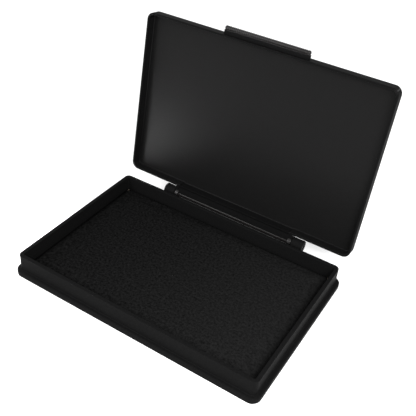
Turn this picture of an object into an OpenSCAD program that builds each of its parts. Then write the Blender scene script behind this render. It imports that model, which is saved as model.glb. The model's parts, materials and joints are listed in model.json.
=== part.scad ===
// Hinged stamping ink pad: a flat black case, a cloth-covered pad in its well and a lid on a steel rod.
// Millimetres, +Z up. The origin is the middle of the case's underside, +Y points to the hinge.
// The lid is drawn closed and then swung open about the hinge rod.

/* [Case] */
// Width of the foot, side to side
foot_w = 180; // [120:1:240]
// Depth of the foot, front to back
foot_d = 120; // [90:1:160]
// Thickness of the foot at its edge
foot_t = 4.1; // [3:0.1:6]
// Corner radius of the foot
foot_r = 6; // [5:0.5:14]
// Width of the step between the foot's edge and the tray wall
ledge = 2.6; // [2.2:0.1:6]
// Height of the tray wall's top above the table
tray_h = 15.5; // [14:0.5:24]
// Thickness of the tray wall
tray_wall = 2.6; // [1.4:0.1:4]
// Thickness of the tray floor
floor_t = 2; // [1.2:0.1:3]
// Depth of the hollow under the floor
under_recess = 1.6; // [0.8:0.1:1.8]
// Thickness of the ribs and the skirt under the floor
under_rib = 2; // [1.2:0.1:4]

/* [Pad] */
// Gap all round between the pad and the tray wall
pad_gap = 0.8; // [0.4:0.1:3]
// Thickness of the cover cloth
cloth_t = 0.4; // [0.2:0.05:0.8]
// Width of the cloth turned under the backing board
hem_w = 12; // [6:1:20]
// Thickness of the backing board
board_t = 1.2; // [0.8:0.1:2]
// Thickness of the foam ink reservoir
foam_t = 1.8; // [1:0.1:4]
// Thickness of the felt ink layer
felt_t = 1.2; // [0.8:0.1:3]
// Width of one adhesive strip
strip_w = 10; // [6:1:16]
// Distance from a strip's end to the cloth's turned edge
strip_margin = 5; // [1:0.5:10]
// Number of adhesive strips
strip_count = 3; // [2:1:4]

/* [Lid] */
// Gap all round between the lid's wall and the tray wall
lid_clearance = 0.3; // [0.2:0.05:0.6]
// Thickness of the lid's wall
lid_wall = 1.5; // [1.2:0.1:2]
// Thickness of the lid's panel
lid_plate = 1.6; // [1.2:0.1:3]
// Overall height of the lid
lid_h = 8.2; // [7:0.1:9]
// Gap between the closed lid's panel and the tray wall's top
lid_rest_gap = 0.1; // [0.05:0.05:0.3]
// Depth of the flat recess in the lid's outer face
face_recess = 0.4; // [0.2:0.1:0.6]
// Width of the border round that recess
face_border = 12; // [8:1:20]

/* [Thumb lip] */
// Width of the thumb lip
lip_w = 61; // [40:1:90]
// Depth of the lip's flat step
lip_step_d = 2.7; // [2:0.1:4]
// Thickness of the lip's flat step
lip_step_t = 2; // [1.5:0.1:2.5]
// Depth of the lip's rounded grip bar
lip_grip_d = 3; // [2:0.1:4]
// Height of the lip above the edge of the lid's wall
lip_rise = 1.9; // [1:0.1:3]

/* [Hinge] */
// Angle between the closed lid and the lid resting on its stop
open_angle = 98.4; // [90:0.1:110]
// Distance from the foot's back edge to the hinge axis
axis_behind = 5.9; // [5.8:0.1:8]
// Height of the hinge axis above the lower edge of the closed lid's wall
axis_rise = 2.2; // [1.8:0.1:3]
// Radius of the hinge rod
rod_r = 1.2; // [1:0.05:1.5]
// Radial running clearance of the rod in the lid's ears
rod_clearance = 0.06; // [0.02:0.01:0.1]
// Radius of the round head of a case lug
lug_r = 4.4; // [3.5:0.1:4.6]
// Width of a case lug
lug_w = 8.5; // [4:0.5:12]
// Depth of the recess between the rod's end and the lug's outer face
rod_recess = 0.3; // [0.1:0.1:1]
// Distance between the two case lugs
lug_span = 97; // [60:1:110]
// Radius of the round head of a lid ear
ear_r = 3.8; // [3:0.1:4.4]
// Width of a lid ear
ear_w = 2.8; // [1.6:0.1:5]
// Gap between a lug's foot and the closed lid's wall above it
lug_foot_gap = 0.5; // [0.3:0.1:1]
// Side gap between a lid ear and its lug
ear_gap = 0.3; // [0.2:0.05:0.6]
// Radius of the lid's hinge barrel between the ears
barrel_r = 2.5; // [2.1:0.1:2.8]
// Thickness of the leaf between the lid's back wall and the barrel
leaf_t = 1.8; // [1.2:0.1:2.4]
// Set-back of the lid's back wall between the ears
wall_step = 0.5; // [0.2:0.1:1]
// Thickness of the heel that stops the open lid
heel_t = 2.4; // [1.6:0.1:3]
// Gap left between the heel and the tray wall
heel_gap = 0.1; // [0.05:0.05:0.3]

/* [Hidden] */
$fn = 64;
cut = 1; // how far a cutting solid runs past the face that it cuts
min_corner_r = 1; // the smallest corner radius in the well and on the pad

tray_w = foot_w - 2 * ledge;
tray_d = foot_d - 2 * ledge;
tray_r = foot_r - ledge;
well_w = tray_w - 2 * tray_wall;
well_d = tray_d - 2 * tray_wall;
well_r = max(tray_r - tray_wall, min_corner_r);
floor_z = under_recess + floor_t;

pad_w = well_w - 2 * pad_gap;
pad_d = well_d - 2 * pad_gap;
pad_r = max(well_r - pad_gap, min_corner_r);
core_w = pad_w - 2 * cloth_t;
core_d = pad_d - 2 * cloth_t;
core_r = max(pad_r - cloth_t, min_corner_r);
board_z = floor_z + cloth_t;
foam_z = board_z + board_t;
felt_z = foam_z + foam_t;
core_top = felt_z + felt_t;
pad_top = core_top + cloth_t;

lid_in_w = tray_w + 2 * lid_clearance;
lid_in_d = tray_d + 2 * lid_clearance;
lid_in_r = tray_r + lid_clearance;
lid_w = lid_in_w + 2 * lid_wall;
lid_d = lid_in_d + 2 * lid_wall;
lid_r = lid_in_r + lid_wall;
lid_inside_z = tray_h + lid_rest_gap;
lid_top = lid_inside_z + lid_plate;
lid_edge_z = lid_top - lid_h;

axis_y = foot_d / 2 + axis_behind;
axis_z = lid_edge_z + axis_rise;
lug_in = lug_span / 2;
ear_out = lug_in - ear_gap;
ear_in = ear_out - ear_w;
lug_foot_top = lid_edge_z - lug_foot_gap;
heel_reach = axis_y - tray_d / 2 - heel_gap;

// Rounded rectangle centred on the origin
module rounded(w, d, r) {
    square([w - 2 * r, d], center = true);
    square([w, d - 2 * r], center = true);
    for (sx = [-1, 1], sy = [-1, 1])
        translate([sx * (w / 2 - r), sy * (d / 2 - r)]) circle(r);
}

// Rounded slab from height z upward
module slab(w, d, r, z, h) {
    translate([0, 0, z]) linear_extrude(h) rounded(w, d, r);
}

// Extrudes a Y-Z outline along X, from x = x0 to x = x1
module along_x(x0, x1) {
    translate([x0, 0, 0]) rotate([90, 0, 90]) linear_extrude(x1 - x0) children();
}

// Puts its children on both sides of the middle plane
module both_sides() {
    children();
    mirror([1, 0, 0]) children();
}

// Round bar about the hinge axis, from x = x0 to x = x1
module axis_bar(r, x0, x1) {
    translate([x0, axis_y, axis_z]) rotate([0, 90, 0]) cylinder(h = x1 - x0, r = r);
}

// Swings the closed lid to its open rest
module opened() {
    translate([0, axis_y, axis_z]) rotate([-open_angle, 0, 0]) translate([0, -axis_y, -axis_z]) children();
}

// One case lug: a foot against the tray wall, a neck behind the closed lid and a round head
module lug() {
    wall_y = tray_d / 2 - tray_wall / 2;
    along_x(lug_in, lug_in + lug_w) {
        translate([wall_y, foot_t / 2]) square([axis_y - wall_y, lug_foot_top - foot_t / 2]);
        translate([axis_y - lug_r, lug_foot_top - lug_r / 2]) square([lug_r, axis_z - lug_foot_top + lug_r / 2]);
        translate([axis_y, axis_z]) circle(lug_r);
    }
}

// Hollow under the floor, split into fields by ribs along the middle lines
module underside_hollow() {
    inside_w = well_w - 2 * under_rib;
    inside_d = well_d - 2 * under_rib;
    difference() {
        slab(inside_w, inside_d, well_r, -cut, cut + under_recess);
        translate([0, 0, under_recess / 2]) cube([under_rib, inside_d + cut, under_recess * 3], center = true);
        translate([0, 0, under_recess / 2]) cube([inside_w + cut, under_rib, under_recess * 3], center = true);
    }
}

module base_tray() {
    color([0.13, 0.13, 0.13]) difference() {
        union() {
            slab(foot_w, foot_d, foot_r, 0, foot_t);
            slab(tray_w, tray_d, tray_r, foot_t / 2, tray_h - foot_t / 2);
            both_sides() lug();
        }
        slab(well_w, well_d, well_r, floor_z, tray_h);
        underside_hollow();
        axis_bar(rod_r, -lug_in - lug_w - cut, lug_in + lug_w + cut);
    }
}

module adhesive_strips() {
    strip_l = core_d - 2 * hem_w - 2 * strip_margin;
    pitch = (core_w - 2 * hem_w) / strip_count;
    color([0.75, 0.72, 0.62])
        for (i = [0 : strip_count - 1])
            translate([(i - (strip_count - 1) / 2) * pitch, 0, floor_z + cloth_t / 2])
                cube([strip_w, strip_l, cloth_t], center = true);
}

module backing_board() {
    color([0.45, 0.42, 0.38]) slab(core_w, core_d, core_r, board_z, board_t);
}

module foam_reservoir() {
    color([0.16, 0.16, 0.17]) slab(core_w, core_d, core_r, foam_z, foam_t);
}

module felt_layer() {
    color([0.1, 0.1, 0.1]) slab(core_w, core_d, core_r, felt_z, felt_t);
}

// The cloth covers the top and sides of the pad and is turned under the board
module cover_cloth() {
    color([0.09, 0.09, 0.09]) difference() {
        slab(pad_w, pad_d, pad_r, floor_z, pad_top - floor_z);
        slab(core_w, core_d, core_r, board_z, core_top - board_z);
        slab(core_w - 2 * hem_w, core_d - 2 * hem_w, core_r, floor_z - cut, cloth_t + 2 * cut);
    }
}

module hinge_rod() {
    rod_end = lug_in + lug_w - rod_recess;
    color([0.25, 0.25, 0.26]) axis_bar(rod_r, -rod_end, rod_end);
}

// One lid ear: a cheek from the lid's back wall, a round head and a heel that points down while closed
module ear() {
    lean = open_angle - 90;
    cheek_top = lid_top - lid_plate / 2;
    along_x(ear_in, ear_out) {
        polygon([[lid_in_d / 2, lid_edge_z], [lid_in_d / 2, cheek_top], [lid_d / 2, cheek_top],
                 [axis_y, axis_z + ear_r], [axis_y, lid_edge_z]]);
        translate([axis_y, axis_z]) {
            circle(ear_r);
            rotate(lean) {
                translate([-heel_t / 2, -heel_reach + heel_t / 2]) square([heel_t, heel_reach - heel_t / 2]);
                translate([0, -heel_reach + heel_t / 2]) circle(heel_t / 2);
            }
        }
    }
}

// Thumb lip on the front wall: a flat step and a rounded grip bar
module thumb_lip() {
    lip_z = lid_edge_z + lip_rise;
    grip_r = lip_grip_d / 2;
    front = -lid_d / 2;
    overlap = 0.2; // how far the step runs into the wall and into the grip bar
    translate([-lip_w / 2, front - lip_step_d - overlap, lip_z])
        cube([lip_w, lip_step_d + 2 * overlap, lip_step_t]);
    translate([0, front - lip_step_d - grip_r, lip_z + lip_step_t / 2]) {
        rotate([0, 90, 0]) cylinder(h = lip_w - 2 * grip_r, r = grip_r, center = true);
        for (s = [-1, 1]) translate([s * (lip_w / 2 - grip_r), 0, 0]) sphere(grip_r);
    }
}

// The set-back back wall between the ears, the leaf behind it and the hinge barrel
module hinge_strip() {
    along_x(-ear_in, ear_in) {
        translate([lid_d / 2 - lid_wall / 2, lid_edge_z]) square([lid_wall / 2 + wall_step, lid_h - lid_plate / 2]);
        translate([lid_in_d / 2 + wall_step, lid_edge_z]) square([axis_y - lid_in_d / 2 - wall_step, leaf_t]);
    }
    axis_bar(barrel_r, -ear_in, ear_in);
}

// Cuts the inner face of the back wall between the ears level with the set-back wall
module wall_step_cut() {
    translate([-ear_in, lid_in_d / 2 - cut, lid_edge_z - cut])
        cube([2 * ear_in, cut + wall_step, lid_inside_z - lid_edge_z + cut]);
}

module closed_lid() {
    difference() {
        union() {
            slab(lid_w, lid_d, lid_r, lid_edge_z, lid_h);
            hinge_strip();
            both_sides() ear();
            thumb_lip();
        }
        wall_step_cut();
        slab(lid_in_w, lid_in_d, lid_in_r, lid_edge_z - lid_h, lid_inside_z - lid_edge_z + lid_h);
        slab(lid_w - 2 * face_border, lid_d - 2 * face_border, lid_r, lid_top - face_recess, lid_h);
        axis_bar(rod_r + rod_clearance, -ear_out - cut, ear_out + cut);
    }
}

module lid_shell() {
    color([0.16, 0.16, 0.16]) opened() closed_lid();
}

base_tray();
adhesive_strips();
backing_board();
foam_reservoir();
felt_layer();
cover_cloth();
hinge_rod();
lid_shell();
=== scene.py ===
"""Hinged stamping ink pad: black moulded case and lid, a cloth-covered pad and a steel hinge rod.

Lengths are in metres. X runs along the case's long side, Y towards the hinge and Z up.
The lid's pieces are modelled closed, where their sizes are easy to read, and then swung to the open rest.
"""

import json
import logging
import math
from collections.abc import Callable, Iterator
from contextlib import contextmanager
from dataclasses import dataclass
from enum import Enum

import bmesh
import bpy
from mathutils import Matrix, Vector, noise


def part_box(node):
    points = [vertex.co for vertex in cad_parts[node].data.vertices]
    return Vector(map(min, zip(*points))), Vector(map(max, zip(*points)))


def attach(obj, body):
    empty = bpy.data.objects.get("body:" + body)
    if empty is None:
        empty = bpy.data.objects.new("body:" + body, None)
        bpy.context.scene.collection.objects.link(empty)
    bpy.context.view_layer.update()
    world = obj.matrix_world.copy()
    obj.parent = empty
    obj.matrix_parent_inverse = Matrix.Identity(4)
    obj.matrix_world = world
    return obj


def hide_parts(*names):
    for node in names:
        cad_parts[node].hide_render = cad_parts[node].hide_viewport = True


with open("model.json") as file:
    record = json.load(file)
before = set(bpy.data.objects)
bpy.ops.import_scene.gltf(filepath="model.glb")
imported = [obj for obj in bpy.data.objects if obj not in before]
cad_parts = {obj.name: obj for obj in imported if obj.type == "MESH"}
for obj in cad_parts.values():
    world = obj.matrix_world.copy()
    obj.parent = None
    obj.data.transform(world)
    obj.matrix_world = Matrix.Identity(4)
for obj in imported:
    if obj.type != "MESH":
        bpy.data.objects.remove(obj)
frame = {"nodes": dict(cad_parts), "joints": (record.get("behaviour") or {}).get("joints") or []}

log = logging.getLogger("ink_pad")

MM = 0.001
TINY = 1e-7
SQUARELY = 0.9  # the least cosine at which a face counts as looking along a direction
Step = tuple[float, float]
Point = tuple[float, float]
Colour = tuple[float, float, float]
UP = Vector((0.0, 0.0, 1.0))
DOWN = Vector((0.0, 0.0, -1.0))
RIGHT = Vector((1.0, 0.0, 0.0))
LEFT = Vector((-1.0, 0.0, 0.0))


class Body(Enum):
    """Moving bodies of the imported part."""

    CASE = "case"
    LID = "lid"


class Slot(Enum):
    """Material slots of the record."""

    CASE = "case_plastic"
    LID = "lid_plastic"
    ROD = "rod_steel"
    CLOTH = "inked_cloth"
    FELT = "inked_felt"
    FOAM = "inked_foam"
    BOARD = "backing_card"
    TAPE = "adhesive_tape"


# ---------------------------------------------------------------- modelling tools


def deselect() -> None:
    """Leaves object mode with nothing selected."""
    bpy.ops.object.select_all(action="DESELECT")


def activate(piece: bpy.types.Object) -> None:
    """Makes one object the only selected one and the active one.

    Args:
        piece: the object.
    """
    deselect()
    piece.select_set(True)
    bpy.context.view_layer.objects.active = piece


def settle(piece: bpy.types.Object) -> None:
    """Moves an object's place, turn and scale into its mesh.

    Args:
        piece: the object.
    """
    activate(piece)
    bpy.ops.object.transform_apply(location=True, rotation=True, scale=True)


@contextmanager
def editing(piece: bpy.types.Object) -> Iterator[None]:
    """Opens a piece in edit mode with nothing selected, and closes it again.

    Args:
        piece: the object to edit.

    Returns:
        A context in which the piece stays in edit mode.
    """
    activate(piece)
    bpy.ops.object.mode_set(mode="EDIT")
    bpy.ops.mesh.select_mode(type="FACE")
    bpy.ops.mesh.select_all(action="DESELECT")
    try:
        yield
    finally:
        bpy.ops.object.mode_set(mode="OBJECT")


def pick_faces(piece: bpy.types.Object, wanted: Callable[[Vector, Vector], bool]) -> int:
    """Selects the faces whose centre and normal pass a test.

    Args:
        piece: the object being edited.
        wanted: takes a face's centre and normal.

    Returns:
        How many faces are now selected.
    """
    bpy.ops.mesh.select_mode(type="FACE")
    bpy.ops.mesh.select_all(action="DESELECT")
    mesh = bmesh.from_edit_mesh(piece.data)
    mesh.normal_update()
    chosen = [f for f in mesh.faces if wanted(f.calc_center_median(), f.normal)]
    for face in chosen:
        face.select_set(True)
    bmesh.update_edit_mesh(piece.data)
    return len(chosen)


def facing(direction: Vector) -> Callable[[Vector, Vector], bool]:
    """Makes a test for faces that look along a direction.

    Args:
        direction: the direction, one unit long.

    Returns:
        A test that pick_faces takes.
    """
    return lambda centre, normal: normal.dot(direction) > SQUARELY


def pick_edges(piece: bpy.types.Object, wanted: Callable[[Vector, Vector], bool]) -> int:
    """Selects the edges whose two ends pass a test.

    Args:
        piece: the object being edited.
        wanted: takes the places of an edge's two ends.

    Returns:
        How many edges are now selected.
    """
    bpy.ops.mesh.select_mode(type="EDGE")
    bpy.ops.mesh.select_all(action="DESELECT")
    mesh = bmesh.from_edit_mesh(piece.data)
    chosen = [e for e in mesh.edges if wanted(e.verts[0].co, e.verts[1].co)]
    for edge in chosen:
        edge.select_set(True)
    bmesh.update_edit_mesh(piece.data)
    return len(chosen)


def add_block(name: str, low: Vector, high: Vector) -> bpy.types.Object:
    """Adds a block between two corners.

    Args:
        name: the new object's name.
        low: the corner with the lowest coordinates.
        high: the corner with the highest coordinates.

    Returns:
        The new object, with its place in its mesh.
    """
    deselect()
    bpy.ops.mesh.primitive_cube_add(size=1.0, location=(low + high) / 2, scale=high - low)
    block = bpy.context.object
    block.name = name
    settle(block)
    return block


def add_bar(name: str, centre: Vector, radius: float, length: float, sides: int = 48) -> bpy.types.Object:
    """Adds a round bar along X.

    Args:
        name: the new object's name.
        centre: the middle of the bar.
        radius: the bar's radius.
        length: the bar's length along X.
        sides: how many flats stand for the round.

    Returns:
        The new object, with its place in its mesh.
    """
    deselect()
    turn = (0.0, math.pi / 2, 0.0)
    bpy.ops.mesh.primitive_cylinder_add(
        vertices=sides, radius=radius, depth=length, location=centre, rotation=turn)
    bar = bpy.context.object
    bar.name = name
    settle(bar)
    return bar


def arc(centre: Point, radius: float, start: float, end: float, count: int = 24) -> list[Point]:
    """Points along an arc.

    Args:
        centre: the arc's centre.
        radius: its radius.
        start: the angle in degrees at which it starts, counted from the first axis.
        end: the angle at which it ends.
        count: how many steps it has.

    Returns:
        The points, both ends included.
    """
    angles = [math.radians(start + (end - start) * k / count) for k in range(count + 1)]
    return [(centre[0] + radius * math.cos(a), centre[1] + radius * math.sin(a)) for a in angles]


def add_profile(name: str, outline: list[Point], start: float, end: float) -> bpy.types.Object:
    """Draws a closed outline across X and extrudes it along X.

    Args:
        name: the new object's name.
        outline: the outline's corners, as Y and Z.
        start: where along X the outline stands.
        end: where along X the extrusion ends.

    Returns:
        The new object.
    """
    deselect()
    bpy.ops.mesh.primitive_circle_add(vertices=len(outline), radius=MM, fill_type="NGON")
    piece = bpy.context.object
    piece.name = name
    for vertex, (y, z) in zip(piece.data.vertices, outline):
        vertex.co = (start, y, z)
    with editing(piece):
        bpy.ops.mesh.select_all(action="SELECT")
        bpy.ops.mesh.extrude_region_move(TRANSFORM_OT_translate={"value": (end - start, 0.0, 0.0)})
        bpy.ops.mesh.select_all(action="SELECT")
        bpy.ops.mesh.normals_make_consistent(inside=False)
    return piece


def round_corners(piece: bpy.types.Object, radius: float, segments: int = 10) -> None:
    """Rounds a block's upright edges.

    Args:
        piece: the block.
        radius: the round's radius.
        segments: how many steps the round has.
    """
    with editing(piece):
        pick_edges(piece, lambda a, b: abs(a.z - b.z) > TINY)
        bpy.ops.mesh.bevel(offset=radius, segments=segments, affect="EDGES")


def onto_face(radius: float, sign: int = 1, count: int = 5) -> list[Step]:
    """Steps of a quarter round that starts along a wall and ends along a face.

    Args:
        radius: the round's radius.
        sign: 1 where the wall rises from the face's first plane, -1 where it sinks.
        count: how many steps the round has.

    Returns:
        Pairs of the way inwards and the way along the face's normal.
    """
    angles = [math.pi / 2 * k / count for k in range(count + 1)]
    return [
        (radius * (math.cos(a) - math.cos(b)), sign * radius * (math.sin(b) - math.sin(a)))
        for a, b in zip(angles, angles[1:])
    ]


def onto_wall(radius: float, sign: int = 1, count: int = 5) -> list[Step]:
    """Steps of a quarter round that starts along a face and ends along a wall.

    Args:
        radius: the round's radius.
        sign: 1 where the wall then rises, -1 where it sinks.
        count: how many steps the round has.

    Returns:
        Pairs of the way inwards and the way along the face's normal.
    """
    angles = [math.pi / 2 * k / count for k in range(count + 1)]
    return [
        (radius * (math.sin(b) - math.sin(a)), sign * radius * (math.cos(a) - math.cos(b)))
        for a, b in zip(angles, angles[1:])
    ]


def follow(steps: list[Step], normal: Vector) -> None:
    """Insets or extrudes the selected face along a chain of steps.

    Args:
        steps: pairs of the way inwards and the way along the normal.
        normal: the selected face's normal.
    """
    for inward, along in steps:
        if inward > TINY:
            bpy.ops.mesh.inset(thickness=inward, depth=along, use_even_offset=True)
        else:
            bpy.ops.mesh.extrude_region_move(TRANSFORM_OT_translate={"value": normal * along})


def apply_modifier(piece: bpy.types.Object, modifier: bpy.types.Modifier) -> None:
    """Applies one modifier of a piece.

    Args:
        piece: the piece.
        modifier: the modifier, which is used up.
    """
    activate(piece)
    bpy.ops.object.modifier_apply(modifier=modifier.name)


def combine(piece: bpy.types.Object, tool: bpy.types.Object, operation: str) -> None:
    """Adds a closed tool to a closed piece, or cuts it away, and removes the tool.

    Args:
        piece: the piece that stays.
        tool: the object that is used up.
        operation: UNION or DIFFERENCE.
    """
    modifier = piece.modifiers.new("Combine", "BOOLEAN")
    modifier.operation = operation
    modifier.solver = "EXACT"
    modifier.object = tool
    apply_modifier(piece, modifier)
    bpy.data.objects.remove(tool)


def cut_pocket(piece: bpy.types.Object, low: Vector, high: Vector, corner: float) -> None:
    """Cuts a pocket with rounded upright corners into a piece.

    Args:
        piece: the closed piece.
        low: the pocket's corner with the lowest coordinates.
        high: the pocket's corner with the highest coordinates.
        corner: the radius of its upright corners.
    """
    tool = add_block("pocket", low, high)
    round_corners(tool, corner)
    combine(piece, tool, "DIFFERENCE")


def soften(piece: bpy.types.Object, width: float, segments: int = 3, sharpness: float = 35.0) -> None:
    """Rounds every sharp edge of a piece a little.

    Args:
        piece: the piece to soften.
        width: the round's width.
        segments: how many steps the round has.
        sharpness: the angle in degrees past which an edge is sharp.
    """
    modifier = piece.modifiers.new("Soften", "BEVEL")
    modifier.width = width
    modifier.segments = segments
    modifier.limit_method = "ANGLE"
    modifier.angle_limit = math.radians(sharpness)
    modifier.use_clamp_overlap = True
    apply_modifier(piece, modifier)


def join(pieces: list[bpy.types.Object], name: str) -> bpy.types.Object:
    """Joins pieces of one moulding into one object.

    Args:
        pieces: the objects to join, the first of which stays.
        name: the joined object's name.

    Returns:
        The joined object.
    """
    activate(pieces[0])
    for piece in pieces[1:]:
        piece.select_set(True)
    bpy.ops.object.join()
    pieces[0].name = name
    return pieces[0]


def smooth(piece: bpy.types.Object, angle: float = 38.0) -> None:
    """Shades a piece smooth, with flat faces kept flat and edges past the angle kept sharp.

    Args:
        piece: the piece to shade.
        angle: the angle in degrees past which an edge stays sharp.
    """
    flat_face_weight = 80
    activate(piece)
    bpy.ops.object.shade_smooth_by_angle(angle=math.radians(angle))
    modifier = piece.modifiers.new("Flat_faces", "WEIGHTED_NORMAL")
    modifier.keep_sharp = True
    modifier.weight = flat_face_weight
    apply_modifier(piece, modifier)


def turn_about(piece: bpy.types.Object, point: Vector, degrees: float) -> None:
    """Turns a piece about an axis along X through a point, and settles it.

    Args:
        piece: the piece to turn.
        point: any point on the axis.
        degrees: the turn, right-handed about X.
    """
    turn = Matrix.Rotation(math.radians(degrees), 4, "X")
    piece.matrix_world = Matrix.Translation(point) @ turn @ Matrix.Translation(-point) @ piece.matrix_world
    settle(piece)


def copy_mirrored(piece: bpy.types.Object, name: str) -> bpy.types.Object:
    """Copies a piece to the other side of the middle plane.

    Args:
        piece: the piece to copy.
        name: the copy's name.

    Returns:
        The copy, with a mesh of its own whose faces point outwards.
    """
    twin = piece.copy()
    twin.data = piece.data.copy()
    twin.name = name
    bpy.context.scene.collection.objects.link(twin)
    twin.scale.x = -1.0
    settle(twin)
    with editing(twin):
        bpy.ops.mesh.select_all(action="SELECT")
        bpy.ops.mesh.normals_make_consistent(inside=False)
    return twin


# ---------------------------------------------------------------- finishes


class Nodes:
    """A new material with its shader and a few helpers to wire its nodes."""

    def __init__(self, name: str) -> None:
        """Makes the material with one shader and Object coordinates.

        Args:
            name: the material's name.
        """
        self.material = bpy.data.materials.new(name)
        self.material.use_nodes = True
        self.tree = self.material.node_tree
        self.shader = self.tree.nodes["Principled BSDF"]
        self.place = self.tree.nodes.new("ShaderNodeTexCoord").outputs["Object"]

    def set(self, **values: float | tuple[float, ...]) -> None:
        """Sets the shader's own sockets; an underscore stands for a space in a socket's name."""
        for name, value in values.items():
            self.shader.inputs[name.replace("_", " ")].default_value = value

    def noise(self, size: float, detail: float = 2.0, roughness: float = 0.5) -> bpy.types.NodeSocket:
        """Adds a noise pattern.

        Args:
            size: the size of its blotches in metres.
            detail: how many finer layers it has.
            roughness: how strong those layers are.

        Returns:
            The pattern's value.
        """
        node = self.tree.nodes.new("ShaderNodeTexNoise")
        node.inputs["Scale"].default_value = 1.0 / size
        node.inputs["Detail"].default_value = detail
        node.inputs["Roughness"].default_value = roughness
        self.tree.links.new(self.place, node.inputs["Vector"])
        return node.outputs["Fac"]

    def spread(self, value: bpy.types.NodeSocket, low: float, high: float, start: float = 0.3,
               end: float = 0.7) -> bpy.types.NodeSocket:
        """Maps a pattern to a range of values.

        Args:
            value: the pattern.
            low: the result where the pattern is at start.
            high: the result where the pattern is at end.
            start: the pattern's lower mark.
            end: the pattern's upper mark.

        Returns:
            The mapped value.
        """
        node = self.tree.nodes.new("ShaderNodeMapRange")
        node.inputs["From Min"].default_value = start
        node.inputs["From Max"].default_value = end
        node.inputs["To Min"].default_value = low
        node.inputs["To Max"].default_value = high
        self.tree.links.new(value, node.inputs["Value"])
        return node.outputs["Result"]

    def along_x(self, start: float, end: float, low: float, high: float) -> bpy.types.NodeSocket:
        """Makes a value that grows evenly along X.

        Args:
            start: the place where it is low.
            end: the place where it is high.
            low: the value at the start and before it.
            high: the value at the end and after it.

        Returns:
            The value.
        """
        split = self.tree.nodes.new("ShaderNodeSeparateXYZ")
        self.tree.links.new(self.place, split.inputs["Vector"])
        return self.spread(split.outputs["X"], low, high, start, end)

    def add(self, first: bpy.types.NodeSocket, second: bpy.types.NodeSocket) -> bpy.types.NodeSocket:
        """Adds two values.

        Args:
            first: one value.
            second: the other value.

        Returns:
            Their sum.
        """
        node = self.tree.nodes.new("ShaderNodeMath")
        node.operation = "ADD"
        self.tree.links.new(first, node.inputs[0])
        self.tree.links.new(second, node.inputs[1])
        return node.outputs["Value"]

    def tint(self, value: bpy.types.NodeSocket, dark: Colour, light: Colour,
             start: float = 0.3, end: float = 0.7) -> None:
        """Colours the shader from dark to light by a pattern.

        Args:
            value: the pattern.
            dark: the colour below the start mark.
            light: the colour above the end mark.
            start: the pattern's lower mark.
            end: the pattern's upper mark.
        """
        ramp = self.tree.nodes.new("ShaderNodeValToRGB")
        ramp.color_ramp.elements[0].position = start
        ramp.color_ramp.elements[1].position = end
        ramp.color_ramp.elements[0].color = (*dark, 1.0)
        ramp.color_ramp.elements[1].color = (*light, 1.0)
        self.tree.links.new(value, ramp.inputs["Fac"])
        self.tree.links.new(ramp.outputs["Color"], self.shader.inputs["Base Color"])

    def roughen(self, value: bpy.types.NodeSocket) -> None:
        """Drives the shader's roughness."""
        self.tree.links.new(value, self.shader.inputs["Roughness"])

    def bump(self, height: bpy.types.NodeSocket, depth: float,
             under: bpy.types.NodeSocket | None = None) -> bpy.types.NodeSocket:
        """Adds a bump and leads it to the shader.

        Args:
            height: the pattern that lifts the surface.
            depth: the height in metres of the whole pattern.
            under: the normal of a coarser bump below this one.

        Returns:
            The bump's normal.
        """
        node = self.tree.nodes.new("ShaderNodeBump")
        node.inputs["Strength"].default_value = 1.0
        node.inputs["Distance"].default_value = depth
        self.tree.links.new(height, node.inputs["Height"])
        if under is not None:
            self.tree.links.new(under, node.inputs["Normal"])
        self.tree.links.new(node.outputs["Normal"], self.shader.inputs["Normal"])
        return node.outputs["Normal"]


@dataclass(frozen=True)
class MouldedPlastic:
    """Black injection-moulded plastic: fine grain, slow mould waves and rubbed patches."""

    name: str
    dark: Colour
    light: Colour
    satin: float
    rubbed: float
    gloss: float
    grain_depth: float
    wave_depth: float
    speckle_size: float = 0.9 * MM
    patch_size: float = 30 * MM
    wave_size: float = 38 * MM
    grain_size: float = 0.7 * MM

    def make(self) -> bpy.types.Material:
        """Makes the material.

        Returns:
            The material.
        """
        nodes = Nodes(self.name)
        nodes.set(Specular_IOR_Level=self.gloss)
        nodes.tint(nodes.noise(self.speckle_size, 3.0, 0.6), self.dark, self.light)
        nodes.roughen(nodes.spread(nodes.noise(self.patch_size, 2.0), self.satin, self.rubbed))
        waves = nodes.bump(nodes.noise(self.wave_size, 1.0), self.wave_depth)
        nodes.bump(nodes.noise(self.grain_size, 2.0, 0.6), self.grain_depth, waves)
        return nodes.material


@dataclass(frozen=True)
class InkedCloth:
    """Felted black cloth, damp with ink: matted fibres in soft clumps."""

    name: str
    dark: Colour
    light: Colour
    fuzz: float
    fibre: float
    clump_depth: float
    fibre_depth: float
    painted_shade_tilt: float
    half_length: float = 80 * MM
    clump_ratio: float = 4.5

    def make(self) -> bpy.types.Material:
        """Makes the material, with painted shade: the colour runs from darker at -X to lighter at +X, as if
        more light fell on the pad's right side.

        Returns:
            The material.
        """
        nodes = Nodes(self.name)
        nodes.set(Specular_IOR_Level=0.02, Sheen_Weight=self.fuzz, Sheen_Roughness=0.5)
        fibres = nodes.noise(self.fibre, 5.0, 0.7)
        # Painted shade: this ramp lightens the cloth towards +X and darkens it towards -X, standing in for
        # the light on the pad.
        painted_shade = nodes.along_x(-self.half_length, self.half_length, -self.painted_shade_tilt, self.painted_shade_tilt)
        nodes.tint(nodes.add(fibres, painted_shade), self.dark, self.light, 0.32, 0.68)
        nodes.roughen(nodes.spread(fibres, 0.75, 0.95))
        clumps = nodes.bump(nodes.noise(self.clump_ratio * self.fibre, 2.0), self.clump_depth)
        nodes.bump(fibres, self.fibre_depth, clumps)
        return nodes.material


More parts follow.
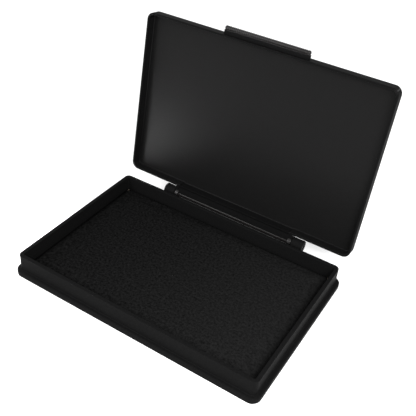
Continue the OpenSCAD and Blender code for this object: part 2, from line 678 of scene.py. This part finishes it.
@dataclass(frozen=True)
class OxideSteel:
    """Drawn steel wire with a black-oxide skin and a fine grain."""

    name: str
    dark: Colour
    light: Colour
    skin_size: float = 2.2 * MM
    grain_size: float = 0.3 * MM
    grain_depth: float = 0.004 * MM

    def make(self) -> bpy.types.Material:
        """Makes the material.

        Returns:
            The material.
        """
        nodes = Nodes(self.name)
        nodes.set(Metallic=0.85)
        skin = nodes.noise(self.skin_size, 4.0, 0.6)
        nodes.tint(skin, self.dark, self.light)
        nodes.roughen(nodes.spread(skin, 0.34, 0.52))
        nodes.bump(nodes.noise(self.grain_size, 2.0), self.grain_depth)
        return nodes.material


@dataclass(frozen=True)
class PressedLayer:
    """A plain inner layer, such as board, foam or tape, with its own speckle."""

    name: str
    dark: Colour
    light: Colour
    speckle: float
    depth: float
    roughness: float

    def make(self) -> bpy.types.Material:
        """Makes the material.

        Returns:
            The material.
        """
        nodes = Nodes(self.name)
        nodes.set(Specular_IOR_Level=0.3)
        speckles = nodes.noise(self.speckle, 4.0, 0.65)
        nodes.tint(speckles, self.dark, self.light, 0.35, 0.65)
        nodes.roughen(nodes.spread(speckles, self.roughness - 0.08, self.roughness + 0.05))
        nodes.bump(speckles, self.depth)
        return nodes.material


CASE_FINISH = MouldedPlastic(
    "Tray_plastic", dark=(0.0038, 0.0038, 0.0039), light=(0.0058, 0.0058, 0.0058),
    satin=0.42, rubbed=0.48, gloss=0.008, grain_depth=0.012 * MM, wave_depth=0.02 * MM)
LID_FINISH = MouldedPlastic(
    "Lid_plastic", dark=(0.0037, 0.0037, 0.0037), light=(0.0059, 0.0058, 0.0058),
    satin=0.30, rubbed=0.34, gloss=0.055, grain_depth=0.006 * MM, wave_depth=0.04 * MM)
MATTE_FINISH = MouldedPlastic(
    "Lid_plastic_matte", dark=(0.0033, 0.0033, 0.0034), light=(0.0052, 0.0052, 0.0052),
    satin=0.42, rubbed=0.48, gloss=0.006, grain_depth=0.012 * MM, wave_depth=0.02 * MM)
# Rubbed plastic for the barrel, the ears' heads and the grip: its extra gloss is real wear, its lighter,
# reddish colour is painted highlight.
WORN_AND_HIGHLIGHT_FINISH = MouldedPlastic(
    "Lid_plastic_rubbed_and_highlit", dark=(0.0050, 0.0045, 0.0045), light=(0.0072, 0.0064, 0.0063),
    satin=0.30, rubbed=0.36, gloss=0.22, grain_depth=0.001 * MM, wave_depth=0.01 * MM)
# The cloth's painted shade tilt paints the pad darker towards -X and lighter towards +X.
CLOTH_FINISH = InkedCloth(
    "Inked_cloth", dark=(0.0010, 0.0010, 0.0010), light=(0.0088, 0.0088, 0.0088),
    fuzz=0.0, fibre=1.5 * MM, clump_depth=0.3 * MM, fibre_depth=0.4 * MM, painted_shade_tilt=0.09)
FELT_FINISH = InkedCloth(
    "Inked_felt", dark=(0.008, 0.008, 0.009), light=(0.022, 0.022, 0.023),
    fuzz=0.05, fibre=0.8 * MM, clump_depth=0.2 * MM, fibre_depth=0.2 * MM, painted_shade_tilt=0.0)
ROD_FINISH = OxideSteel("Rod_steel", dark=(0.045, 0.043, 0.042), light=(0.085, 0.08, 0.078))
FOAM_FINISH = PressedLayer(
    "Inked_foam", dark=(0.01, 0.01, 0.012), light=(0.04, 0.04, 0.043),
    speckle=0.9 * MM, depth=0.25 * MM, roughness=0.9)
BOARD_FINISH = PressedLayer(
    "Backing_card", dark=(0.2, 0.16, 0.115), light=(0.3, 0.245, 0.19),
    speckle=2.2 * MM, depth=0.04 * MM, roughness=0.85)
TAPE_FINISH = PressedLayer(
    "Adhesive_tape", dark=(0.55, 0.5, 0.37), light=(0.66, 0.61, 0.48),
    speckle=6 * MM, depth=0.03 * MM, roughness=0.5)


def dress(piece: bpy.types.Object, material: bpy.types.Material) -> None:
    """Gives a piece its material.

    Args:
        piece: the piece to dress.
        material: its material.
    """
    piece.data.materials.clear()
    piece.data.materials.append(material)


def seat(piece: bpy.types.Object, body: Body, *nodes: str) -> None:
    """Lets a piece ride on a body and stand for CAD nodes.

    Args:
        piece: the piece.
        body: the body that it moves with.
        nodes: the names of the nodes that it stands for.
    """
    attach(piece, body.value)
    if nodes:
        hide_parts(*nodes)


# ---------------------------------------------------------------- the object


@dataclass
class Hinge:
    """The hinge axis and the sizes that the case, the lid and the rod share."""

    axis: Vector
    open_angle: float
    rod_radius: float
    rod_end: float
    running_clearance: float = 0.06 * MM
    pressed_clearance: float = 0.01 * MM
    end_ring: float = 0.25 * MM
    end_centre: float = 0.1 * MM
    chamfer: float = 0.2 * MM

    @classmethod
    def from_frame(cls) -> "Hinge":
        """Reads the joint and the rod from the frame.

        Returns:
            The hinge.
        """
        joint = frame["joints"][0]
        low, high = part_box("hinge_rod")
        return cls(Vector(joint["pos_m"]), joint["range_deg"][1], (high.z - low.z) / 2, high.x)

    def build_rod(self) -> bpy.types.Object:
        """Models the rod with its ends chamfered.

        Returns:
            The rod.
        """
        rod = add_bar("hinge_pin", self.axis, self.rod_radius, 2 * self.rod_end)
        with editing(rod):
            pick_faces(rod, lambda centre, normal: abs(normal.x) > SQUARELY)
            bpy.ops.mesh.inset(thickness=self.end_ring, depth=0.0)
            bpy.ops.mesh.inset(thickness=self.end_centre, depth=0.0)
            pick_edges(rod, lambda a, b: self._on_end_rim(a) and self._on_end_rim(b))
            bpy.ops.mesh.bevel(offset=self.chamfer, segments=3, affect="EDGES")
        smooth(rod)
        dress(rod, ROD_FINISH.make())
        seat(rod, Body.CASE, "hinge_rod")
        return rod

    def _on_end_rim(self, point: Vector) -> bool:
        """Tells whether a point lies on the rim of one of the rod's ends."""
        return abs(point.x) > self.rod_end - TINY and self.off_axis(point) > self.rod_radius - TINY

    def bore(self, piece: bpy.types.Object, clearance: float) -> None:
        """Bores a piece right through for the rod.

        Args:
            piece: the closed piece.
            clearance: the gap all round between the rod and the bore.
        """
        longer = 1.2
        tool = add_bar("bore", self.axis, self.rod_radius + clearance, 2 * self.rod_end * longer)
        combine(piece, tool, "DIFFERENCE")

    def where_level(self, radius: float, height: float) -> float:
        """Angle at which a circle about the axis passes a height on its front side.

        Args:
            radius: the circle's radius.
            height: the height above the table.

        Returns:
            The angle in degrees, counted from the back and over the top.
        """
        return 180.0 - math.degrees(math.asin((height - self.axis.z) / radius))

    def off_axis(self, point: Vector) -> float:
        """Distance of a point from the hinge axis."""
        return math.hypot(point.y - self.axis.y, point.z - self.axis.z)


@dataclass
class Case:
    """The tray with its foot, the well for the pad and two hinge lugs, all one moulding."""

    hinge: Hinge
    foot_thickness: float = 4.1 * MM
    foot_corner: float = 6.0 * MM
    foot_round: float = 1.1 * MM
    ledge: float = 2.6 * MM
    ledge_fillet: float = 0.5 * MM
    wall: float = 2.6 * MM
    rim_round: float = 0.35 * MM
    rim_inner_round: float = 0.35 * MM
    floor_height: float = 3.6 * MM
    floor_fillet: float = 0.4 * MM
    under_recess: float = 1.6 * MM
    under_rib: float = 2.0 * MM
    under_round: float = 0.4 * MM
    under_corner: float = 1.0 * MM
    lug_radius: float = 4.4 * MM
    lug_foot_top: float = 8.5 * MM
    lug_inner: float = 48.5 * MM
    lug_width: float = 8.5 * MM
    lug_round: float = 0.45 * MM
    cut_below: float = 1.0 * MM

    def __post_init__(self) -> None:
        """Reads the foot's size and the tray's height from the frame."""
        low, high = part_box("base_tray")
        self.half_width = high.x
        self.half_depth = -low.y
        self.height = high.z

    def build(self) -> bpy.types.Object:
        """Models, joins and dresses the case.

        Returns:
            The case.
        """
        tray = self._tray()
        right = self._lug("lug_right")
        left = copy_mirrored(right, "lug_left")
        case = join([tray, right, left], "tray_moulding")
        smooth(case)
        dress(case, CASE_FINISH.make())
        seat(case, Body.CASE, "base_tray")
        return case

    def _tray(self) -> bpy.types.Object:
        """Models the foot, the walls and the well from one block.

        Returns:
            The tray without its lugs.
        """
        low = Vector((-self.half_width, -self.half_depth, self.under_round))
        shoulder = Vector((self.half_width, self.half_depth, self.foot_thickness - self.foot_round))
        tray = add_block("tray", low, shoulder)
        round_corners(tray, self.foot_corner, 12)
        with editing(tray):
            self._raise_walls(tray)
            pick_faces(tray, facing(DOWN))
            follow(onto_face(self.under_round, count=3), DOWN)
        self._hollow_underside(tray)
        return tray

    def _raise_walls(self, tray: bpy.types.Object) -> None:
        """Traces the section from the foot's edge over the rim and down to the well's floor.

        Args:
            tray: the rounded block, open in edit mode.
        """
        rise = self.height - self.foot_thickness - self.ledge_fillet - self.rim_round
        drop = self.height - self.floor_height - self.rim_inner_round - self.floor_fillet
        steps = onto_face(self.foot_round)
        steps.append((self.ledge - self.foot_round - self.ledge_fillet, 0.0))
        steps += onto_wall(self.ledge_fillet, count=4)
        steps.append((0.0, rise))
        steps += onto_face(self.rim_round)
        steps.append((self.wall - self.rim_round - self.rim_inner_round, 0.0))
        steps += onto_wall(self.rim_inner_round, sign=-1)
        steps.append((0.0, -drop))
        steps += onto_face(self.floor_fillet, sign=-1, count=3)
        pick_faces(tray, facing(UP))
        follow(steps, UP)

    def _hollow_underside(self, tray: bpy.types.Object) -> None:
        """Hollows the underside in four fields, with a cross of ribs left between them.

        Args:
            tray: the closed tray.
        """
        skirt = self.ledge + self.wall + self.under_rib
        far_x = self.half_width - skirt
        far_y = self.half_depth - skirt
        near = self.under_rib / 2
        for low_x, high_x in ((-far_x, -near), (near, far_x)):
            for low_y, high_y in ((-far_y, -near), (near, far_y)):
                low = Vector((low_x, low_y, -self.cut_below))
                cut_pocket(tray, low, Vector((high_x, high_y, self.under_recess)), self.under_corner)

    def _lug(self, name: str) -> bpy.types.Object:
        """Models the right lug: a foot on the wall, a neck, a round head and the rod's bore.

        Args:
            name: the new object's name.

        Returns:
            The lug.
        """
        axis = self.hinge.axis
        foot = self.half_depth - self.ledge - self.wall / 2
        outline = [(foot, self.foot_thickness / 2), (axis.y, self.foot_thickness / 2)]
        outline += arc((axis.y, axis.z), self.lug_radius, -90.0, 180.0, 48)
        outline += [(axis.y - self.lug_radius, self.lug_foot_top), (foot, self.lug_foot_top)]
        lug = add_profile(name, outline, self.lug_inner, self.lug_inner + self.lug_width)
        soften(lug, self.lug_round)
        self.hinge.bore(lug, self.hinge.pressed_clearance)
        return lug


@dataclass
class Lid:
    """The lid's panel and wall, its hinge strip and ears and its thumb lip, all one moulding."""

    hinge: Hinge
    case: Case
    clearance: float = 0.3 * MM
    wall: float = 1.5 * MM
    plate: float = 1.6 * MM
    height: float = 8.2 * MM
    rest_gap: float = 0.1 * MM
    outer_round: float = 1.2 * MM
    edge_round: float = 0.2 * MM
    inner_fillet: float = 0.5 * MM
    face_recess: float = 0.4 * MM
    face_border: float = 12.0 * MM
    ear_gap: float = 0.3 * MM
    ear_width: float = 2.8 * MM
    ear_radius: float = 3.8 * MM
    ear_round: float = 0.35 * MM
    heel_thickness: float = 2.4 * MM
    heel_gap: float = 0.1 * MM
    barrel_radius: float = 2.5 * MM
    leaf_thickness: float = 1.8 * MM
    wall_step: float = 0.5 * MM
    sink: float = 0.02 * MM
    lip_width: float = 61.0 * MM
    lip_step_depth: float = 2.7 * MM
    lip_thickness: float = 2.0 * MM
    lip_grip_depth: float = 3.0 * MM
    lip_rise: float = 1.9 * MM
    lip_rib_pitch: float = 1.3 * MM
    lip_rib_height: float = 0.28 * MM
    lip_round: float = 0.3 * MM
    lip_overlap: float = 0.4 * MM
    lip_seed: float = 0.2 * MM
    lip_dome: float = 0.96  # a grip end's round against the bar's radius
    rib_slope: float = 0.2  # each slope of a rib, as a share of the pitch
    rib_flat: float = 0.3  # a rib's top or the valley beside it, as a share of the pitch

    def __post_init__(self) -> None:
        """Works out the lid's closed place from the tray."""
        overhang = self.clearance - self.case.ledge
        self.half_inner_width = self.case.half_width + overhang
        self.half_inner_depth = self.case.half_depth + overhang
        self.half_width = self.half_inner_width + self.wall
        self.half_depth = self.half_inner_depth + self.wall
        self.corner = self.case.foot_corner + overhang + self.wall
        self.top = self.case.height + self.rest_gap + self.plate
        self.edge = self.top - self.height
        self.ear_outer = self.case.lug_inner - self.ear_gap
        self.ear_inner = self.ear_outer - self.ear_width

    def build(self) -> bpy.types.Object:
        """Models the lid closed, joins and dresses it, and swings it open.

        Returns:
            The lid.
        """
        right = self._ear("ear_right")
        left = copy_mirrored(right, "ear_left")
        parts = [self._shell(), self._hinge_strip(), right, left, self._lip_step(), self._lip_grip()]
        lid = join(parts, "lid_moulding")
        dress(lid, LID_FINISH.make())
        self._vary_finish(lid)
        turn_about(lid, self.hinge.axis, -self.hinge.open_angle)
        smooth(lid)
        seat(lid, Body.LID, "lid_shell")
        return lid

    def _vary_finish(self, lid: bpy.types.Object) -> None:
        """Makes the outside matte, and gives the barrel, the ears' heads and the grip a glossier rubbed
        finish whose lighter, reddish colour is painted highlight.

        Args:
            lid: the closed lid with its first material.
        """
        lid.data.materials.append(MATTE_FINISH.make())
        lid.data.materials.append(WORN_AND_HIGHLIGHT_FINISH.make())
        for face in lid.data.polygons:
            # Painted highlight: these faces get the lighter, reddish rubbed finish.
            if self._is_rubbed_and_highlit(face.center):
                face.material_index = 2
            elif self._is_outside(face.center):
                face.material_index = 1

    def _is_outside(self, place: Vector) -> bool:
        """Tells whether a place on the closed lid lies outside its hollow.

        Args:
            place: the place.

        Returns:
            True outside the hollow.
        """
        beside = abs(place.x) > self.half_inner_width or abs(place.y) > self.half_inner_depth + self.wall_step
        return beside or place.z > self.top - self.plate / 2

    def _is_rubbed_and_highlit(self, place: Vector) -> bool:
        """Tells whether a place on the closed lid lies on the barrel, an ear's head or the grip.

        Args:
            place: the place.

        Returns:
            True on any of the three.
        """
        beside_rod = self.hinge.off_axis(place) < self.ear_radius + self.sink
        on_grip = place.y < -self.half_depth - self.lip_step_depth
        return on_grip or beside_rod

    def _shell(self) -> bpy.types.Object:
        """Models the panel with its wall, the recess outside and the hollow inside.

        Returns:
            The shell.
        """
        low = Vector((-self.half_width, -self.half_depth, self.edge + self.edge_round))
        high = Vector((self.half_width, self.half_depth, self.top - self.outer_round))
        shell = add_block("shell", low, high)
        round_corners(shell, self.corner, 12)
        with editing(shell):
            pick_faces(shell, facing(UP))
            follow(onto_face(self.outer_round), UP)
            pick_faces(shell, facing(DOWN))
            follow(self._inside(), DOWN)
        self._set_back_wall(shell)
        reach_x = self.half_width - self.face_border
        reach_y = self.half_depth - self.face_border
        low = Vector((-reach_x, -reach_y, self.top - self.face_recess))
        cut_pocket(shell, low, Vector((reach_x, reach_y, self.top + self.plate)), self.corner)
        return shell

    def _inside(self) -> list[Step]:
        """Steps round the wall's edge and up the inner wall to the panel.

        Returns:
            Pairs of the way inwards and the way down.
        """
        depth = self.height - self.plate - self.edge_round - self.inner_fillet
        steps = onto_face(self.edge_round, count=4)
        steps.append((self.wall - 2 * self.edge_round, 0.0))
        steps += onto_wall(self.edge_round, sign=-1, count=4)
        steps.append((0.0, -depth))
        steps += onto_face(self.inner_fillet, sign=-1, count=4)
        return steps

    def _set_back_wall(self, shell: bpy.types.Object) -> None:
        """Moves the back wall between the ears outwards by its step.

        Args:
            shell: the closed shell.
        """
        low = Vector((-self.ear_inner, self.half_depth - self.wall / 2, self.edge + self.sink))
        high = Vector((self.ear_inner, self.half_depth + self.wall_step, self.top - self.plate / 2))
        combine(shell, add_block("step_outside", low, high), "UNION")
        cut = self.inner_fillet
        low = Vector((-self.ear_inner, self.half_inner_depth - cut, self.edge - cut))
        ceiling = self.top - self.plate - self.sink
        high = Vector((self.ear_inner, self.half_inner_depth + self.wall_step, ceiling))
        tool = add_block("step_inside", low, high)
        with editing(tool):
            pick_edges(tool, lambda a, b: min(a.y, b.y) > high.y - TINY and min(a.z, b.z) > high.z - TINY)
            bpy.ops.mesh.bevel(offset=self.inner_fillet, segments=4, affect="EDGES")
        combine(shell, tool, "DIFFERENCE")

    def _hinge_strip(self) -> bpy.types.Object:
        """Models the leaf behind the wall and the barrel that the rod runs through.

        Returns:
            The strip.
        """
        axis = self.hinge.axis
        root = self.half_depth - self.wall / 2
        low = self.edge + self.sink
        high = self.edge + self.leaf_thickness
        under = self.hinge.where_level(self.barrel_radius, low)
        above = self.hinge.where_level(self.barrel_radius, high)
        outline = [(root, high), (root, low)]
        outline += arc((axis.y, axis.z), self.barrel_radius, under - 360.0, above, 56)
        reach = self.ear_inner + self.ear_width / 4
        strip = add_profile("hinge_strip", outline, -reach, reach)
        self.hinge.bore(strip, self.hinge.running_clearance)
        return strip

    def _ear(self, name: str) -> bpy.types.Object:
        """Models the right ear: a cheek on the wall, a round head, a heel and the bore.

        Args:
            name: the new object's name.

        Returns:
            The ear.
        """
        axis = self.hinge.axis
        root = self.half_inner_depth + self.sink
        low = self.edge + self.sink
        cheek_top = self.top - self.plate / 2
        under = self.hinge.where_level(self.ear_radius, low) - 360.0
        beside_heel = math.degrees(math.asin(self.heel_thickness / 2 / self.ear_radius))
        lean = self.hinge.open_angle - 90.0
        outline = [(self.half_depth, cheek_top), (root, cheek_top), (root, low)]
        outline += arc((axis.y, axis.z), self.ear_radius, under, lean - 90.0 - beside_heel, 8)
        outline += self._heel_tip(lean)
        outline += arc((axis.y, axis.z), self.ear_radius, lean - 90.0 + beside_heel, 90.0, 32)
        ear = add_profile(name, outline, self.ear_inner, self.ear_outer)
        soften(ear, self.ear_round)
        self.hinge.bore(ear, self.hinge.running_clearance)
        return ear

    def _heel_tip(self, lean: float) -> list[Point]:
        """Points round the tip of the heel that meets the tray's back wall when the lid stands open.

        Args:
            lean: the heel's angle in degrees from straight down while the lid is closed.

        Returns:
            The points, as Y and Z.
        """
        axis = self.hinge.axis
        half = self.heel_thickness / 2
        reach = axis.y - (self.case.half_depth - self.case.ledge) - self.heel_gap - half
        tilt = math.radians(lean)
        centre = (axis.y + reach * math.sin(tilt), axis.z - reach * math.cos(tilt))
        return arc(centre, half, lean - 180.0, lean, 16)

    def _lip_step(self) -> bpy.types.Object:
        """Models the flat step between the front wall and the grip.

        Returns:
            The step.
        """
        half = self.lip_width / 2
        front = -self.half_depth - self.lip_step_depth - self.lip_overlap
        bottom = self.edge + self.lip_rise
        low = Vector((-half, front, bottom))
        high = Vector((half, -self.half_depth + self.lip_overlap, bottom + self.lip_thickness))
        step = add_block("lip_step", low, high)
        soften(step, self.lip_round)
        return step

    def _lip_grip(self) -> bpy.types.Object:
        """Models the round grip bar, with domed ends and a row of fine ribs.

        Returns:
            The grip.
        """
        radius = self.lip_grip_depth / 2
        middle_y = -self.half_depth - self.lip_step_depth - radius
        middle_z = self.edge + self.lip_rise + self.lip_thickness / 2
        half = self.lip_width / 2 - radius
        centre = Vector((0.0, middle_y, middle_z))
        start = centre + Vector((-half + self.lip_seed / 2, 0.0, 0.0))
        grip = add_bar("lip_grip", start, radius, self.lip_seed, 32)
        core = radius - self.lip_rib_height
        count = int((2 * half - self.lip_seed) / self.lip_rib_pitch)
        pitch = (2 * half - self.lip_seed) / count
        dome = onto_face(radius * self.lip_dome, count=5)
        with editing(grip):
            pick_faces(grip, facing(RIGHT))
            for _ in range(count):
                self._pull_end(pitch * self.rib_slope, core / radius, centre)
                self._pull_end(pitch * self.rib_flat, 1.0, centre)
                self._pull_end(pitch * self.rib_slope, radius / core, centre)
                self._pull_end(pitch * self.rib_flat, 1.0, centre)
            follow(dome, RIGHT)
            pick_faces(grip, facing(LEFT))
            follow(dome, LEFT)
        return grip

    def _pull_end(self, length: float, scale: float, centre: Vector) -> None:
        """Draws the selected end face out along X and scales it about the bar's axis.

        Args:
            length: how far the face is drawn.
            scale: the new ring's size against the last one's.
            centre: a point on the bar's axis.
        """
        bpy.ops.mesh.extrude_region_move(TRANSFORM_OT_translate={"value": (length, 0.0, 0.0)})
        if abs(scale - 1.0) > TINY:
            bpy.ops.transform.resize(value=(1.0, scale, scale), center_override=centre)


@dataclass
class Pad:
    """The soft pad: cloth drawn over felt and foam, turned under a board and stuck to the tray."""

    case: Case
    corner: float = 2.2 * MM
    shoulder_width: float = 7.0 * MM
    shoulder_drop: float = 3.3 * MM
    cloth: float = 0.35 * MM
    layer_side: float = 1.0 * MM
    layer_under: float = 0.6 * MM
    hem: float = 12.0 * MM
    voxel: float = 2.0 * MM
    pressure: float = 4.0
    most_swell: float = 0.5 * MM
    frames: int = 20
    unevenness: float = 0.09 * MM
    wave_size: float = 9 * MM
    ripple_size: float = 3.5 * MM
    ripple_share: float = 0.6
    held_height: float = 1.2 * MM
    hem_height: float = 1.0 * MM

    def __post_init__(self) -> None:
        """Reads the pad's place from the frame."""
        self.low, self.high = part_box("cover_cloth")

    def build(self) -> list[bpy.types.Object]:
        """Models and dresses the cover and the layers in it.

        Returns:
            The cover and the two soft layers.
        """
        cover = self._cover()
        felt = self._layer("felt_pad", "felt_layer", FELT_FINISH.make())
        foam = self._layer("foam_pad", "foam_reservoir", FOAM_FINISH.make())
        self._dress_node("backing_board", BOARD_FINISH.make())
        self._dress_node("adhesive_strips", TAPE_FINISH.make())
        return [cover, felt, foam]

    def _cover(self) -> bpy.types.Object:
        """Models the cover, lets it swell and gives it its hem and thickness.

        Returns:
            The cover.
        """
        cover = self._blank("pad_cover", 0.0, 0.0)
        self._remesh(cover)
        self._swell(cover)
        self._ruffle(cover)
        self._open_underside(cover)
        dress(cover, CLOTH_FINISH.make())
        seat(cover, Body.CASE, "cover_cloth")
        return cover

    def _blank(self, name: str, side: float, under: float) -> bpy.types.Object:
        """Models a flat pad with wide, soft shoulders.

        Args:
            name: the new object's name.
            side: how far its sides lie inside the cover's.
            under: how far its top lies under the cover's.

        Returns:
            The closed blank.
        """
        inside = Vector((side, side, 0.0))
        top = self.high.z - under
        wall_top = Vector((self.high.x, self.high.y, top - self.shoulder_drop)) - inside
        blank = add_block(name, self.low + inside, wall_top)
        round_corners(blank, self.corner - side, 6)
        with editing(blank):
            pick_faces(blank, facing(UP))
            self._draw_shoulder(wall_top.copy())
        return blank

    def _draw_shoulder(self, edge: Vector) -> None:
        """Draws the selected top face up and in, ring by ring, over a wide elliptical shoulder.

        Args:
            edge: the shoulder's lower edge at the back right corner.
        """
        stretch = self.shoulder_width / self.shoulder_drop
        for inward, rise in onto_face(self.shoulder_drop, count=6):
            narrower = Vector((edge.x - inward * stretch, edge.y - inward * stretch, edge.z + rise))
            bpy.ops.mesh.extrude_region_move(TRANSFORM_OT_translate={"value": (0.0, 0.0, rise)})
            shrink = (narrower.x / edge.x, narrower.y / edge.y, 1.0)
            bpy.ops.transform.resize(value=shrink, center_override=(0.0, 0.0, narrower.z))
            edge = narrower

    def _remesh(self, cover: bpy.types.Object) -> None:
        """Gives the blank an even mesh that the cloth can move.

        Args:
            cover: the closed blank.
        """
        modifier = cover.modifiers.new("Even_mesh", "REMESH")
        modifier.mode = "VOXEL"
        modifier.voxel_size = self.voxel
        modifier.use_smooth_shade = True
        apply_modifier(cover, modifier)

    def _swell(self, cover: bpy.types.Object) -> None:
        """Swells the cover as cloth under even pressure, its underside and lower edge held.

        Args:
            cover: the cover with its even mesh.
        """
        held = cover.vertex_groups.new(name="Held")
        rest = [v.co.copy() for v in cover.data.vertices]
        waist = self.low.z + self.held_height
        held.add([i for i, place in enumerate(rest) if place.z < waist], 1.0, "REPLACE")
        modifier = cover.modifiers.new("Swell", "CLOTH")
        settings = modifier.settings
        settings.vertex_group_mass = held.name
        settings.use_pressure = True
        settings.uniform_pressure_force = self.pressure
        settings.effector_weights.gravity = 0.0
        settings.quality = 6
        settings.mass = 0.15
        settings.tension_stiffness = 15.0
        settings.compression_stiffness = 15.0
        settings.shear_stiffness = 5.0
        settings.bending_stiffness = 0.5
        modifier.point_cache.frame_start = 1
        modifier.point_cache.frame_end = self.frames
        for number in range(1, self.frames + 1):
            bpy.context.scene.frame_set(number)
        apply_modifier(cover, modifier)
        self._cap(cover, rest)
        bpy.context.scene.frame_set(1)

    def _cap(self, cover: bpy.types.Object, rest: list[Vector]) -> None:
        """Keeps every point of the cover near where it started.

        Args:
            cover: the swollen cover.
            rest: the points' places before the swelling.
        """
        swells = [(v.co - start).length for v, start in zip(cover.data.vertices, rest)]
        log.info("pad cover swells by %.2f mm at most", max(swells) / MM)
        for vertex, start in zip(cover.data.vertices, rest):
            move = vertex.co - start
            if move.length > self.most_swell:
                vertex.co = start + move.normalized() * self.most_swell

    def _ruffle(self, cover: bpy.types.Object) -> None:
        """Lifts and sinks the top a little, as thick felt lies, and rounds the mesh.

        Args:
            cover: the cover.
        """
        for vertex in cover.data.vertices:
            share = max(0.0, (vertex.co.z - self.low.z) / (self.high.z - self.low.z))
            ripple = noise.noise(vertex.co / self.ripple_size)
            wave = noise.noise(vertex.co / self.wave_size) + self.ripple_share * ripple
            vertex.co.z += self.unevenness * share * wave
        modifier = cover.modifiers.new("Rounded", "SUBSURF")
        modifier.levels = 1
        modifier.render_levels = 1
        apply_modifier(cover, modifier)

    def _open_underside(self, cover: bpy.types.Object) -> None:
        """Cuts the underside back to the turned hem and gives the cloth its thickness.

        Args:
            cover: the closed cover.
        """
        mostly_down = -0.7
        half_x = self.high.x - self.hem
        half_y = self.high.y - self.hem
        with editing(cover):
            pick_faces(cover, lambda centre, normal: normal.z < mostly_down
                       and centre.z < self.low.z + self.hem_height
                       and abs(centre.x) < half_x and abs(centre.y) < half_y)
            bpy.ops.mesh.delete(type="FACE")
            bpy.ops.mesh.select_all(action="SELECT")
            bpy.ops.mesh.normals_make_consistent(inside=False)
        modifier = cover.modifiers.new("Cloth_thickness", "SOLIDIFY")
        modifier.thickness = self.cloth
        modifier.offset = -1.0
        apply_modifier(cover, modifier)
        activate(cover)
        bpy.ops.object.shade_smooth()

    def _layer(self, name: str, node: str, material: bpy.types.Material) -> bpy.types.Object:
        """Models one soft layer inside the cover, its shoulders eased where the cover's are.

        Args:
            name: the new piece's name.
            node: the CAD node that it stands for.
            material: its material.

        Returns:
            The layer.
        """
        low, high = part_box(node)
        layer = self._blank(name, self.layer_side, self.layer_under)
        with editing(layer):
            for height, normal in ((low.z, -1.0), (high.z, 1.0)):
                bpy.ops.mesh.select_all(action="SELECT")
                bpy.ops.mesh.bisect(plane_co=(0.0, 0.0, height), plane_no=(0.0, 0.0, normal), use_fill=True,
                                    clear_outer=True)
        smooth(layer)
        dress(layer, material)
        seat(layer, Body.CASE, node)
        return layer

    def _dress_node(self, node: str, material: bpy.types.Material) -> None:
        """Dresses a CAD node whose shape is right."""
        dress(frame["nodes"][node], material)


# ---------------------------------------------------------------- the studio


@dataclass
class SoftLight:
    """One soft studio lamp."""

    name: str
    place: tuple[float, float, float]
    aim: tuple[float, float, float]
    width: float
    power: float
    spread: float = 180.0

    def build(self) -> bpy.types.Object:
        """Adds the lamp.

        Returns:
            The lamp.
        """
        data = bpy.data.lights.new(self.name, "AREA")
        data.shape = "SQUARE"
        data.size = self.width
        data.energy = self.power
        data.spread = math.radians(self.spread)
        lamp = bpy.data.objects.new(self.name, data)
        lamp.location = self.place
        direction = Vector(self.aim) - Vector(self.place)
        lamp.rotation_euler = direction.to_track_quat("-Z", "Y").to_euler()
        bpy.context.scene.collection.objects.link(lamp)
        return lamp


@dataclass
class Studio:
    """Plain pale floor, soft light and the camera."""

    target: tuple[float, float, float] = (0.0022, 0.0251, 0.0445)
    distance: float = 0.42147
    azimuth: float = 28.8652
    elevation: float = 37.0941
    roll: float = 5.2351
    lens: float = 56.4918
    floor_half: float = 3.0
    floor_shade: float = 0.9
    sky: float = 1.2

    def build(self) -> None:
        """Builds the floor, the light and the camera."""
        self._floor()
        self._sky()
        SoftLight("Key", place=(0.3, -0.27, 0.36), aim=(0.05, -0.02, 0.0), width=0.25, power=3.4).build()
        SoftLight("Front", place=(-0.3, -0.46, 0.4), aim=(0.0, 0.06, 0.01), width=0.25, power=2.4).build()
        SoftLight("Side", place=(-0.24, -0.05, 0.26), aim=(-0.172, -0.04, 0.0), width=0.06, power=0.42,
                  spread=28.0).build()
        self._camera()
        bpy.context.scene.view_settings.view_transform = "Standard"

    def _floor(self) -> None:
        """Lays the floor under the object."""
        deselect()
        bpy.ops.mesh.primitive_plane_add(size=2 * self.floor_half)
        floor = bpy.context.object
        floor.name = "floor"
        nodes = Nodes("Floor_paper")
        nodes.set(Specular_IOR_Level=0.0, Roughness=1.0, Base_Color=(self.floor_shade,) * 3 + (1.0,))
        floor.data.materials.append(nodes.material)

    def _sky(self) -> None:
        """Surrounds the scene with even white light."""
        world = bpy.data.worlds.new("Studio_sky")
        world.use_nodes = True
        background = world.node_tree.nodes["Background"]
        background.inputs["Color"].default_value = (1.0, 1.0, 1.0, 1.0)
        background.inputs["Strength"].default_value = self.sky
        bpy.context.scene.world = world

    def _camera(self) -> None:
        """Adds the camera on a sphere about its target."""
        azimuth = math.radians(self.azimuth)
        elevation = math.radians(self.elevation)
        away = Vector((math.sin(azimuth) * math.cos(elevation), -math.cos(azimuth) * math.cos(elevation),
                       math.sin(elevation)))
        data = bpy.data.cameras.new("Camera")
        data.lens = self.lens
        data.clip_start = 0.01
        camera = bpy.data.objects.new("Camera", data)
        look = (-away).to_track_quat("-Z", "Y").to_matrix().to_4x4()
        roll = Matrix.Rotation(math.radians(self.roll), 4, "Z")
        camera.matrix_world = Matrix.Translation(Vector(self.target) + away * self.distance) @ look @ roll
        bpy.context.scene.collection.objects.link(camera)
        bpy.context.scene.camera = camera


def main() -> None:
    """Builds the ink pad and its studio."""
    logging.basicConfig(level=logging.INFO, format="%(name)s: %(message)s")
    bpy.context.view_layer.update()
    hinge = Hinge.from_frame()
    case = Case(hinge)
    lid = Lid(hinge, case)
    pad = Pad(case)
    pieces = [case.build(), lid.build(), hinge.build_rod(), *pad.build()]
    for piece in pieces:
        log.info("%s: %d faces", piece.name, len(piece.data.polygons))
    Studio().build()


if __name__ == "__main__":
    main()
